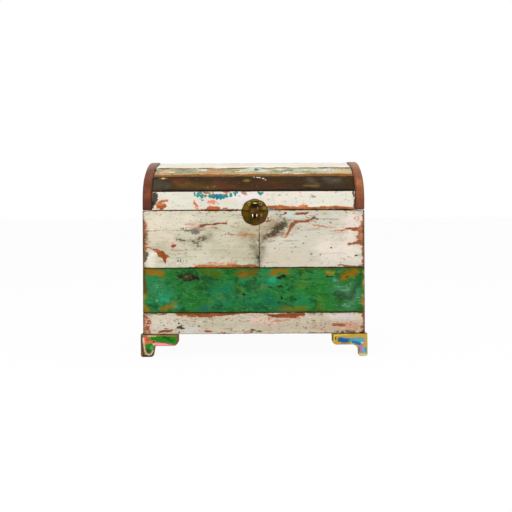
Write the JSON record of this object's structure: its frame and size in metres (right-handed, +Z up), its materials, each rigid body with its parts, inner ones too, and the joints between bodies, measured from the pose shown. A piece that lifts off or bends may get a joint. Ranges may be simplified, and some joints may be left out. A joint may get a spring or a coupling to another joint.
{
  "type": "storage chest",
  "caption": "Dome-top storage chest of reclaimed painted boards on bracket feet, with a hinged lid and a round brass clasp with a swinging hasp.",
  "frame": {"origin": "on the floor under the middle of the chest", "axes": "+X to the right of someone facing the front, +Y to the back, +Z up; the clasp is on the -Y side"},
  "size_m": [0.714, 0.4745, 0.627],
  "materials": {
    "white_paint": "worn satin paint",
    "green_paint": "worn satin paint",
    "dark_board": "worn satin paint",
    "pale_board": "worn satin paint",
    "brown_wood": "satin varnish",
    "foot_paint": "worn satin paint",
    "bare_wood": "sawn",
    "aged_brass": "aged",
    "old_steel": "aged"
  },
  "bodies": {
    "chest": {"back_lower_plank": "white_paint", "back_middle_plank": "dark_board", "back_upper_plank": "green_paint", "clasp_eyes": "aged_brass", "clasp_lower_nails": "aged_brass", "clasp_lower_plate": "aged_brass", "corner_post_back_left": "bare_wood", "corner_post_back_right": "bare_wood", "corner_post_front_left": "bare_wood", "corner_post_front_right": "bare_wood", "floor_board_1": "bare_wood", "floor_board_2": "bare_wood", "floor_board_3": "bare_wood", "floor_board_4": "bare_wood", "floor_cleat_left": "bare_wood", "floor_cleat_right": "bare_wood", "foot_back_left_face": "foot_paint", "foot_back_left_return": "foot_paint", "foot_back_right_face": "foot_paint", "foot_back_right_return": "foot_paint", "foot_blocks": "bare_wood", "foot_front_left_face": "foot_paint", "foot_front_left_return": "foot_paint", "foot_front_right_face": "foot_paint", "foot_front_right_return": "foot_paint", "front_lower_plank": "white_paint", "front_middle_plank": "green_paint", "front_seam_batten": "bare_wood", "front_upper_left_plank": "white_paint", "front_upper_right_plank": "white_paint", "hinge_box_screws": "old_steel", "hinge_left_box_leaf": "old_steel", "hinge_left_pin": "old_steel", "hinge_right_box_leaf": "old_steel", "hinge_right_pin": "old_steel", "left_lower_plank": "dark_board", "left_middle_plank": "white_paint", "left_upper_plank": "white_paint", "right_lower_plank": "pale_board", "right_middle_plank": "green_paint", "right_upper_plank": "white_paint"},
    "lid": {"hinge_left_lid_leaf": "old_steel", "hinge_right_lid_leaf": "old_steel", "lid_back_crown_stave": "white_paint", "lid_back_haunch_stave": "white_paint", "lid_back_rail": "white_paint", "lid_back_shoulder_stave": "pale_board", "lid_end_left": "brown_wood", "lid_end_right": "brown_wood", "lid_front_crown_stave": "white_paint", "lid_front_haunch_stave": "pale_board", "lid_front_rail": "white_paint", "lid_front_shoulder_stave": "dark_board", "lid_rib_left": "bare_wood", "lid_rib_right": "bare_wood", "hinge_lid_screws": "old_steel", "clasp_upper_plate": "aged_brass", "clasp_upper_nails": "aged_brass", "hasp_pin": "aged_brass"},
    "hasp": {"hasp": "aged_brass"}
  },
  "joints": [
    {"name": "lid_hinge", "type": "hinge", "parent": "chest", "child": "lid", "pos_m": [0, 0.2313, 0.461], "axis": [-1, 0, 0], "range_deg": [0, 100]},
    {"name": "hasp_hinge", "type": "hinge", "parent": "lid", "child": "hasp", "pos_m": [0.004, -0.2303, 0.4825], "axis": [-1, 0, 0], "range_deg": [0, 165]}
  ]
}
